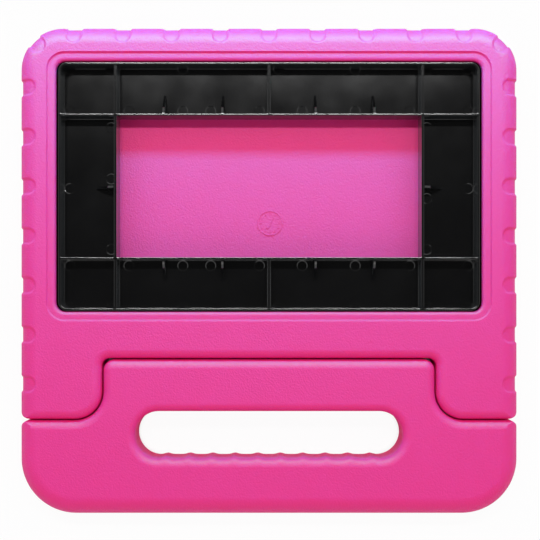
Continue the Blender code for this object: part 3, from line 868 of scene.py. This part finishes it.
def sleeve_profile(hinge, gap):
    """Outside of a hinge sleeve, from its flange to its far end, as (distance from its face, radius)."""
    pitch = (hinge.sleeve_length - hinge.flange) / (hinge.barbs + 1)
    flange_back = hinge.flange + gap
    radius = hinge.sleeve_radius + gap
    chamfer = hinge.chamfer
    profile = [(0.0, hinge.flange_radius + gap - chamfer), (chamfer, hinge.flange_radius + gap)]
    profile += [(flange_back, hinge.flange_radius + gap), (flange_back, radius)]
    for barb in range(1, hinge.barbs + 1):
        crest = hinge.flange + barb * pitch
        profile += [(crest, radius), (crest, radius + hinge.barb), (crest + pitch / 2, radius)]
    end = hinge.sleeve_length + gap
    return profile + [(end - chamfer, radius), (end, radius - chamfer)]


def hinge_place(face, direction):
    """Where a turned hinge piece goes: its own X axis starts at face and runs towards direction."""
    half_turn = Matrix.Rotation(0 if direction > 0 else math.pi, 4, "Z")
    return Matrix.Translation((face, HINGE_AXIS.y, HINGE_AXIS.z)) @ half_turn


def hinge_sleeve(name, hinge, face, direction):
    """A barbed sleeve with a flange at its face and a blind bore for the pin."""
    radius = hinge.pin_radius + hinge.pin_gap
    depth = hinge.pin_depth + hinge.pin_gap
    bore = [(depth, 0.0), (depth, radius), (hinge.chamfer, radius), (0.0, radius + hinge.chamfer)]
    profile = bore + sleeve_profile(hinge, 0.0) + [(hinge.sleeve_length, 0.0)]
    return turned(name, profile, hinge_place(face, direction))


def hinge_bore(name, hinge, face, mouth, direction):
    """The hole that a hinge sleeve sits in, open towards the seam at mouth."""
    outer = sleeve_profile(hinge, hinge.fit_gap)
    profile = [(mouth, 0.0), (mouth, outer[1][1])] + outer[2:] + [(outer[-1][0], 0.0)]
    return turned(name, profile, hinge_place(face, direction))


def hinge_pin(name, hinge, side):
    """The steel pin, from the hub's bore across the seam to the socket's bore."""
    start = HUB_FACE - hinge.pin_depth
    end = SOCKET_FACE + hinge.pin_depth - start
    radius = hinge.pin_radius
    chamfer = hinge.chamfer
    profile = [(0.0, 0.0), (0.0, radius - chamfer), (chamfer, radius)]
    profile += [(end - chamfer, radius), (end, radius - chamfer), (end, 0.0)]
    return turned(name, profile, hinge_place(side * start, side))


def hinge_washer(name, hinge, side):
    """The friction washer on the pin, between the hub's face and the socket's."""
    start = HUB_FACE + hinge.washer_gap
    inner = hinge.pin_radius + hinge.pin_gap
    outer = hinge.washer_radius
    chamfer = hinge.chamfer
    thick = hinge.washer
    profile = [(0.0, inner), (0.0, outer - chamfer), (chamfer, outer)]
    profile += [(thick - chamfer, outer), (thick, outer - chamfer), (thick, inner)]
    return turned(name, profile, hinge_place(side * start, side), closed=True)


def add_node(tree, kind, **values):
    """A node of the kind, with its properties set by name."""
    node = tree.nodes.new(kind)
    for name, value in values.items():
        setattr(node, name, value)
    return node


def set_inputs(node, values):
    """Sets a node's inputs from a table of their names and plain values."""
    for name, value in values.items():
        node.inputs[name].default_value = value


def reckon(tree, operation, *terms):
    """The result of a calculation on plain numbers and on the results of other nodes."""
    node = add_node(tree, "ShaderNodeMath", operation=operation)
    for index, term in enumerate(terms):
        if isinstance(term, float):
            node.inputs[index].default_value = term
        else:
            tree.links.new(term, node.inputs[index])
    return node.outputs[0]


def moulded_skin_group():
    """Fine pebbled grain and faint mottling of a moulded skin, from the object's own coordinates."""
    group = bpy.data.node_groups.new("moulded_skin", "ShaderNodeTree")
    sockets = group.interface
    for name, default in (("Grain Size", 0.0009), ("Mottle Size", 0.009)):
        socket = sockets.new_socket(name, in_out="INPUT", socket_type="NodeSocketFloat")
        socket.default_value = default
        socket.min_value = 0.0
    for name in ("Grain", "Mottle"):
        sockets.new_socket(name, in_out="OUTPUT", socket_type="NodeSocketFloat")
    start = group.nodes.new("NodeGroupInput")
    end = group.nodes.new("NodeGroupOutput")
    coordinates = group.nodes.new("ShaderNodeTexCoord")
    fine = reckon(group, "DIVIDE", 1.0, start.outputs["Grain Size"])
    broad = reckon(group, "DIVIDE", 1.0, start.outputs["Mottle Size"])
    pebbles = add_node(group, "ShaderNodeTexVoronoi", feature="SMOOTH_F1")
    set_inputs(pebbles, {"Smoothness": 0.6})
    fibres = group.nodes.new("ShaderNodeTexNoise")
    set_inputs(fibres, {"Detail": 3.0})
    mottle = group.nodes.new("ShaderNodeTexNoise")
    set_inputs(mottle, {"Detail": 2.0})
    for node, scale in ((pebbles, fine), (fibres, fine), (mottle, broad)):
        group.links.new(coordinates.outputs["Object"], node.inputs["Vector"])
        group.links.new(scale, node.inputs["Scale"])
    pebble_height = -0.6
    grain = reckon(group, "MULTIPLY_ADD", pebbles.outputs["Distance"], pebble_height, fibres.outputs["Fac"])
    group.links.new(grain, end.inputs["Grain"])
    group.links.new(mottle.outputs["Fac"], end.inputs["Mottle"])
    return group


def new_material(name):
    """A material with its shader, and its tree."""
    material = bpy.data.materials.new(name)
    material.use_nodes = True
    tree = material.node_tree
    return material, tree, tree.nodes["Principled BSDF"]


def link_value(tree, source, low, high, target):
    """Feeds a 0 to 1 value, mapped to low and high, into a socket."""
    node = tree.nodes.new("ShaderNodeMapRange")
    set_inputs(node, {"To Min": low, "To Max": high})
    tree.links.new(source, node.inputs["Value"])
    tree.links.new(node.outputs["Result"], target)


def link_colour(tree, source, dark, light, target):
    """Feeds a mix of two colours into a socket, by a 0 to 1 value."""
    node = add_node(tree, "ShaderNodeMix", data_type="RGBA")
    set_inputs(node, {"A": (*dark, 1.0), "B": (*light, 1.0)})
    tree.links.new(source, node.inputs["Factor"])
    tree.links.new(node.outputs["Result"], target)


def link_bump(tree, shader, source, distance, strength):
    """Feeds a height into the shader's normal."""
    node = tree.nodes.new("ShaderNodeBump")
    set_inputs(node, {"Distance": distance, "Strength": strength})
    tree.links.new(source, node.inputs["Height"])
    tree.links.new(node.outputs["Normal"], shader.inputs["Normal"])


def skin_node(tree, grain_size, mottle_size):
    """The moulded skin group in a material, with that material's sizes."""
    node = tree.nodes.new("ShaderNodeGroup")
    node.node_tree = bpy.data.node_groups.get("moulded_skin") or moulded_skin_group()
    set_inputs(node, {"Grain Size": grain_size, "Mottle Size": mottle_size})
    return node


def foam_material(finishes):
    """Matt moulded foam with a fine pebbled skin."""
    material, tree, shader = new_material("moulded_foam")
    skin = skin_node(tree, finishes.foam_grain, finishes.foam_mottle)
    mottle, grain = skin.outputs["Mottle"], skin.outputs["Grain"]
    link_colour(tree, mottle, finishes.foam_deep, finishes.foam, shader.inputs["Base Color"])
    roughness = finishes.foam_roughness
    unevenness = 0.06
    link_value(tree, grain, roughness + unevenness, roughness - unevenness, shader.inputs["Roughness"])
    link_bump(tree, shader, grain, distance=finishes.foam_relief, strength=0.8)
    set_inputs(shader, {
        "Subsurface Weight": finishes.foam_softness,
        "Subsurface Radius": (1.0, 0.2, 0.35),
        "Subsurface Scale": finishes.foam_depth,
    })
    return material


def tray_material(finishes):
    """Glossy moulded black plastic, with a slight unevenness in its shine."""
    material, tree, shader = new_material("tray_black")
    skin = skin_node(tree, grain_size=0.0022, mottle_size=0.02)
    mottle = skin.outputs["Mottle"]
    black = finishes.tray
    link_colour(tree, mottle, black, [1.5 * value for value in black], shader.inputs["Base Color"])
    roughness = finishes.tray_roughness
    link_value(tree, mottle, roughness - 0.03, roughness + 0.04, shader.inputs["Roughness"])
    link_bump(tree, shader, skin.outputs["Grain"], distance=0.000004, strength=0.5)
    set_inputs(shader, {
        "Specular IOR Level": 1.0,
        "Sheen Weight": finishes.tray_haze,
        "Sheen Roughness": 0.4,
        "Sheen Tint": (0.85, 0.93, 1.0, 1.0),
    })
    return material


def nylon_material(finishes):
    """Satin black plastic of the hinge's sleeves and washers."""
    material, tree, shader = new_material("hinge_nylon")
    skin = skin_node(tree, grain_size=0.0004, mottle_size=0.004)
    mottle, grain = skin.outputs["Mottle"], skin.outputs["Grain"]
    dark = finishes.nylon
    link_colour(tree, mottle, dark, [1.4 * value for value in dark], shader.inputs["Base Color"])
    link_value(tree, grain, 0.38, 0.48, shader.inputs["Roughness"])
    link_bump(tree, shader, grain, distance=0.00002, strength=0.5)
    return material


def steel_material(finishes):
    """Turned steel, with fine rings round the pin from the tool."""
    material, tree, shader = new_material("turned_steel")
    set_inputs(shader, {"Metallic": 1.0, "Base Color": (*finishes.steel, 1.0)})
    coordinates = tree.nodes.new("ShaderNodeTexCoord")
    rings = add_node(tree, "ShaderNodeTexWave", wave_type="BANDS", bands_direction="X")
    set_inputs(rings, {"Scale": 900.0, "Distortion": 1.5})
    tree.links.new(coordinates.outputs["Object"], rings.inputs["Vector"])
    link_value(tree, rings.outputs["Fac"], 0.24, 0.36, shader.inputs["Roughness"])
    link_bump(tree, shader, rings.outputs["Fac"], distance=0.00001, strength=0.4)
    return material


def dress(piece, material, body, node):
    """Gives a piece its material and its body, and hides the packed node that it stands for."""
    piece.data.materials.clear()
    piece.data.materials.append(material)
    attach(piece, body)
    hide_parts(node)


class TABLETCASE_OT_shell(bpy.types.Operator):
    """Makes the foam shell with its grip dents, window, pocket and hinge holes"""

    bl_idname = "tablet_case.shell"
    bl_label = "Foam Shell"

    def execute(self, context):
        scene = context.scene
        form, window, hinge = scene.case_form, scene.case_window, scene.case_hinge
        shell = seam_block("foam_shell", shell_seam_outline, form)
        steps = [
            ("INTERSECT", case_block("whole_case", form, scene.case_dents)),
            ("DIFFERENCE", pocket_space(window)),
            ("UNION", mould_dial(scene.case_dial, window)),
        ]
        mouth = HUB_FACE - SOCKET_FACE
        for side in (-1, 1):
            steps.append(("DIFFERENCE", hinge_bore("lobe_bore", hinge, side * SOCKET_FACE, mouth, side)))
        combine(shell, *steps)
        smooth(shell, FOAM_ANGLE)
        dress(shell, foam_material(scene.case_finishes), "case", "case_shell")
        return {"FINISHED"}


class TABLETCASE_OT_handle(bpy.types.Operator):
    """Makes the foam handle with its tongue, hand slot and hinge holes"""

    bl_idname = "tablet_case.handle"
    bl_label = "Foam Handle"

    def execute(self, context):
        scene = context.scene
        form, hinge = scene.case_form, scene.case_hinge
        handle = seam_block("foam_handle", handle_seam_outline, form)
        steps = [
            ("INTERSECT", case_block("whole_case", form)),
            ("DIFFERENCE", slot_space(scene.case_slot)),
        ]
        mouth = -form.seam_gap
        for side in (-1, 1):
            steps.append(("DIFFERENCE", hinge_bore("tongue_bore", hinge, side * HUB_FACE, mouth, -side)))
        combine(handle, *steps)
        smooth(handle, FOAM_ANGLE)
        foam = bpy.data.materials.get("moulded_foam") or foam_material(scene.case_finishes)
        dress(handle, foam, "handle", "handle_stand")
        return {"FINISHED"}


class TABLETCASE_OT_tray(bpy.types.Operator):
    """Makes the ribbed tray with its cells, webs and pin marks"""

    bl_idname = "tablet_case.tray"
    bl_label = "Ribbed Tray"

    def execute(self, context):
        scene = context.scene
        tray, window = scene.case_tray, scene.case_window
        piece = flange_plate(tray, window)
        middle, *cells = cell_sides(tray, window)
        solids = [cell_space(tray, sides, through=False) for sides in cells]
        solids.append(cell_space(tray, middle, through=True))
        combine(
            piece,
            ("UNION", tray_block(tray, window)),
            ("DIFFERENCE", join_solids("cells", solids)),
            ("UNION", gusset_webs(tray, window)),
            ("DIFFERENCE", pin_marks(tray, window)),
        )
        smooth(piece, TRAY_ANGLE)
        dress(piece, tray_material(scene.case_finishes), "case", "insert_tray")
        return {"FINISHED"}


class TABLETCASE_OT_hinges(bpy.types.Operator):
    """Makes the sleeves, washers and pins of both hinges"""

    bl_idname = "tablet_case.hinges"
    bl_label = "Hinges"

    def execute(self, context):
        hinge = context.scene.case_hinge
        finishes = context.scene.case_finishes
        nylon = nylon_material(finishes)
        steel = steel_material(finishes)
        for side, word in ((-1, "left"), (1, "right")):
            socket = hinge_sleeve(f"socket_sleeve_{word}", hinge, side * SOCKET_FACE, side)
            hub = hinge_sleeve(f"hub_sleeve_{word}", hinge, side * HUB_FACE, -side)
            washer = hinge_washer(f"friction_washer_{word}", hinge, side)
            pin = hinge_pin(f"steel_pin_{word}", hinge, side)
            for piece in (socket, hub, washer, pin):
                smooth(piece, HINGE_ANGLE)
            dress(socket, nylon, "case", f"hinge_socket_{word}")
            dress(hub, nylon, "handle", f"hinge_hub_{word}")
            dress(washer, nylon, "handle", f"hinge_washer_{word}")
            dress(pin, steel, "handle", f"hinge_pin_{word}")
        return {"FINISHED"}


def area_lamp(name, middle, target, size, strength, tint=(1.0, 1.0, 1.0)):
    """A rectangular soft lamp that faces the target."""
    lamp = bpy.data.lights.new(name, "AREA")
    lamp.shape = "RECTANGLE"
    lamp.size, lamp.size_y = size
    lamp.energy = strength
    lamp.color = tint
    holder = bpy.data.objects.new(name, lamp)
    bpy.context.scene.collection.objects.link(holder)
    holder.location = middle
    holder.visible_camera = False
    aim = Vector(target) - Vector(middle)
    holder.rotation_euler = aim.to_track_quat("-Z", "Y").to_euler()
    return holder


def foam_pieces():
    """The collection of the foam pieces, which the cool lamp lights and the black tray isn't in."""
    pieces = bpy.data.collections.new("foam_pieces")
    for piece in bpy.context.scene.objects:
        if piece.type == "MESH" and "moulded_foam" in piece.data.materials:
            pieces.objects.link(piece)
    return pieces


def seen_directly(tree, near):
    """A value that is 1 for rays from the camera or through glass, and for gloss rays longer than near."""
    path = tree.nodes.new("ShaderNodeLightPath").outputs
    far = reckon(tree, "GREATER_THAN", path["Ray Length"], near)
    gloss = reckon(tree, "MULTIPLY", path["Is Glossy Ray"], far)
    plain = reckon(tree, "MAXIMUM", path["Is Camera Ray"], path["Is Transmission Ray"])
    return reckon(tree, "MAXIMUM", plain, gloss)


def make_world(studio):
    """Light on the object from pale walls all round, under a dark ceiling."""
    world = bpy.data.worlds.new("studio")
    bpy.context.scene.world = world
    world.use_nodes = True
    tree = world.node_tree
    light = tree.nodes["Background"]
    set_inputs(light, {"Color": (1.0, 1.0, 1.0, 1.0)})
    direction = tree.nodes.new("ShaderNodeTexCoord")
    height = tree.nodes.new("ShaderNodeSeparateXYZ")
    tree.links.new(direction.outputs["Generated"], height.inputs["Vector"])
    fall = add_node(tree, "ShaderNodeMapRange", interpolation_type="SMOOTHSTEP")
    set_inputs(fall, {
        "From Min": studio.wall_top,
        "From Max": studio.ceiling_edge,
        "To Min": studio.wall_light,
        "To Max": studio.ceiling_light,
    })
    tree.links.new(height.outputs["Z"], fall.inputs["Value"])
    tree.links.new(fall.outputs["Result"], light.inputs["Strength"])


def make_floor(studio):
    """A wide pale floor that the camera sees nearly white, with the object's shadow on it and a painted
    contact shadow where ambient occlusion fades the glow near the case.
    """
    shape = bmesh.new()
    bmesh.ops.create_grid(shape, x_segments=1, y_segments=1, size=3.0)
    floor = object_from("floor", shape)
    material, tree, shader = new_material("pale_floor")
    set_inputs(shader, {"Base Color": (*studio.floor, 1.0), "Roughness": 0.9, "Specular IOR Level": 0.1})
    glow = tree.nodes.new("ShaderNodeEmission")
    mix = tree.nodes.new("ShaderNodeMixShader")
    # Ambient occlusion fades the glow near and under the case: a painted contact shadow laid over the
    # floor's real shadow.
    openness = tree.nodes.new("ShaderNodeAmbientOcclusion")
    set_inputs(openness, {"Distance": studio.shadow_reach})
    shade = tree.nodes.new("ShaderNodeMapRange")
    set_inputs(shade, {
        "From Min": studio.shadow_dark,
        "From Max": studio.shadow_open,
        "To Max": studio.floor_glow,
    })
    tree.links.new(openness.outputs["AO"], shade.inputs["Value"])
    seen = seen_directly(tree, studio.floor_near)
    amount = reckon(tree, "MULTIPLY", seen, shade.outputs["Result"])
    tree.links.new(amount, mix.inputs[0])
    tree.links.new(shader.outputs[0], mix.inputs[1])
    tree.links.new(glow.outputs[0], mix.inputs[2])
    tree.links.new(mix.outputs[0], tree.nodes["Material Output"].inputs["Surface"])
    floor.data.materials.append(material)


class TABLETCASE_OT_stage(bpy.types.Operator):
    """Makes the floor, the lamps, the light from all round and the camera"""

    bl_idname = "tablet_case.stage"
    bl_label = "Studio"

    def execute(self, context):
        scene = context.scene
        studio = scene.case_studio
        make_floor(studio)
        make_world(studio)
        aim = studio.aim
        area_lamp("high_lamp", studio.high_place, aim, studio.high_size, studio.high_power)
        cool = area_lamp("cool_lamp", studio.cool_place, aim, studio.cool_size, studio.cool_power,
                         studio.cool_tint)
        cool.light_linking.receiver_collection = foam_pieces()
        area_lamp("low_lamp", studio.low_place, aim, studio.low_size, studio.low_power, studio.low_tint)
        camera = bpy.data.cameras.new("camera")
        camera.lens = studio.lens
        camera.shift_x = studio.shift_x
        camera.shift_y = studio.shift_y
        camera.clip_start = 0.02
        holder = bpy.data.objects.new("camera", camera)
        holder.location = studio.camera
        scene.collection.objects.link(holder)
        scene.camera = holder
        scene.view_settings.view_transform = "Standard"
        return {"FINISHED"}


class TABLETCASE_PT_panel(bpy.types.Panel):
    """Lists the pieces of the tablet case and their settings"""

    bl_label = "Tablet Case"
    bl_space_type = "VIEW_3D"
    bl_region_type = "UI"
    bl_category = "Tablet Case"

    def draw(self, context):
        layout = self.layout
        for operator in OPERATORS:
            layout.operator(operator.bl_idname)
        for name, group in SETTINGS.items():
            box = layout.box()
            box.label(text=group.__doc__)
            settings = getattr(context.scene, name)
            for key in group.__annotations__:
                box.prop(settings, key)


SETTINGS = {
    "case_form": CaseForm,
    "case_window": WindowForm,
    "case_dents": GripDents,
    "case_slot": HandSlot,
    "case_dial": MouldDial,
    "case_tray": TrayForm,
    "case_hinge": HingeForm,
    "case_finishes": Finishes,
    "case_studio": Studio,
}
OPERATORS = (
    TABLETCASE_OT_shell,
    TABLETCASE_OT_handle,
    TABLETCASE_OT_tray,
    TABLETCASE_OT_hinges,
    TABLETCASE_OT_stage,
)


def register():
    """Registers the settings, the operators and the panel."""
    for name, group in SETTINGS.items():
        bpy.utils.register_class(group)
        setattr(bpy.types.Scene, name, PointerProperty(type=group))
    for operator in OPERATORS:
        bpy.utils.register_class(operator)
    bpy.utils.register_class(TABLETCASE_PT_panel)


def unregister():
    """Takes everything away that register added."""
    bpy.utils.unregister_class(TABLETCASE_PT_panel)
    for operator in reversed(OPERATORS):
        bpy.utils.unregister_class(operator)
    for name, group in reversed(SETTINGS.items()):
        delattr(bpy.types.Scene, name)
        bpy.utils.unregister_class(group)


def main():
    """Makes every piece and the studio."""
    register()
    bpy.ops.tablet_case.shell()
    bpy.ops.tablet_case.handle()
    bpy.ops.tablet_case.tray()
    bpy.ops.tablet_case.hinges()
    bpy.ops.tablet_case.stage()
    bpy.context.view_layer.update()


if __name__ == "__main__":
    main()
